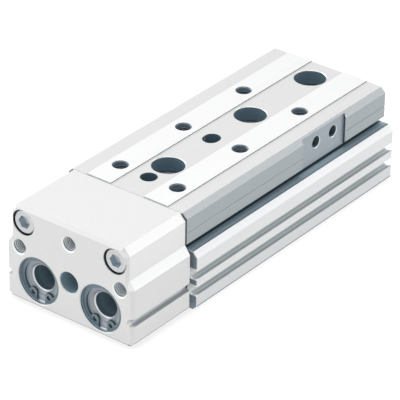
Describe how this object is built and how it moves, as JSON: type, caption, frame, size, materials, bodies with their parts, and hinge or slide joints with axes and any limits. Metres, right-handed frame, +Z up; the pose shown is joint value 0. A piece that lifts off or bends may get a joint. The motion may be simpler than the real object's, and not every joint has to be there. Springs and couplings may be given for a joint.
{
  "type": "pneumatic slide table",
  "caption": "Compact air-driven slide table: two cylinders in a slotted housing move a ball-guided channel and its front block.",
  "frame": {"origin": "under the middle of the retracted table, in the face that it stands on", "axes": "+X across to the right, +Y back along the stroke from the front block, +Z up through the load face"},
  "size_m": [0.066, 0.17, 0.0437],
  "materials": {
    "anodised_aluminium": "fine matte clear anodised",
    "guide_steel": "ground and hardened",
    "rod_steel": "hard chromed and polished",
    "screw_steel": "zinc plated",
    "spring_steel": "phosphated, dark grey",
    "ball_steel": "polished",
    "bearing_bronze": "turned",
    "cage_plastic": "moulded acetal",
    "band_plastic": "filled PTFE",
    "magnet_ferrite": "sintered",
    "seal_rubber": "moulded nitrile"
  },
  "bodies": {
    "housing_group": {"housing": "anodised_aluminium", "guide_rail": "guide_steel", "guide_rail_screws": "screw_steel", "front_cage_stop": "screw_steel", "rear_cage_stop": "screw_steel", "cage_stop_screws": "screw_steel", "left_rod_bearing": "bearing_bronze", "left_bearing_ring": "seal_rubber", "left_rod_seal": "seal_rubber", "left_bearing_circlip": "spring_steel", "left_front_buffer": "seal_rubber", "left_rear_buffer": "seal_rubber", "left_end_cap": "anodised_aluminium", "left_end_cap_ring": "seal_rubber", "left_end_cap_circlip": "spring_steel", "right_rod_bearing": "bearing_bronze", "right_bearing_ring": "seal_rubber", "right_rod_seal": "seal_rubber", "right_bearing_circlip": "spring_steel", "right_front_buffer": "seal_rubber", "right_rear_buffer": "seal_rubber", "right_end_cap": "anodised_aluminium", "right_end_cap_ring": "seal_rubber", "right_end_cap_circlip": "spring_steel"},
    "carriage": {"slide": "guide_steel", "yoke": "anodised_aluminium", "yoke_screws": "screw_steel", "left_yoke_circlip": "spring_steel", "left_retaining_washer": "screw_steel", "left_rod_head": "screw_steel", "left_float_ring": "seal_rubber", "left_piston_rod": "rod_steel", "left_piston": "anodised_aluminium", "left_front_piston_seal": "seal_rubber", "left_magnet": "magnet_ferrite", "left_guide_band": "band_plastic", "left_rear_piston_seal": "seal_rubber", "right_yoke_circlip": "spring_steel", "right_retaining_washer": "screw_steel", "right_rod_head": "screw_steel", "right_float_ring": "seal_rubber", "right_piston_rod": "rod_steel", "right_piston": "anodised_aluminium", "right_front_piston_seal": "seal_rubber", "right_magnet": "magnet_ferrite", "right_guide_band": "band_plastic", "right_rear_piston_seal": "seal_rubber"},
    "left_cage": {"left_ball_cage": "cage_plastic", "left_balls": "ball_steel"},
    "right_cage": {"right_ball_cage": "cage_plastic", "right_balls": "ball_steel"}
  },
  "joints": [
    {"name": "carriage_slide", "type": "slide", "parent": "housing_group", "child": "carriage", "axis": [0, -1, 0], "range_m": [0, 0.05]},
    {"name": "left_cage_slide", "type": "slide", "parent": "housing_group", "child": "left_cage", "axis": [0, -1, 0], "range_m": [0, 0.025]},
    {"name": "right_cage_slide", "type": "slide", "parent": "housing_group", "child": "right_cage", "axis": [0, -1, 0], "range_m": [0, 0.025]}
  ],
  "couplings": [
    {"joint": "left_cage_slide", "follows": "carriage_slide", "ratio": 0.5},
    {"joint": "right_cage_slide", "follows": "carriage_slide", "ratio": 0.5}
  ]
}
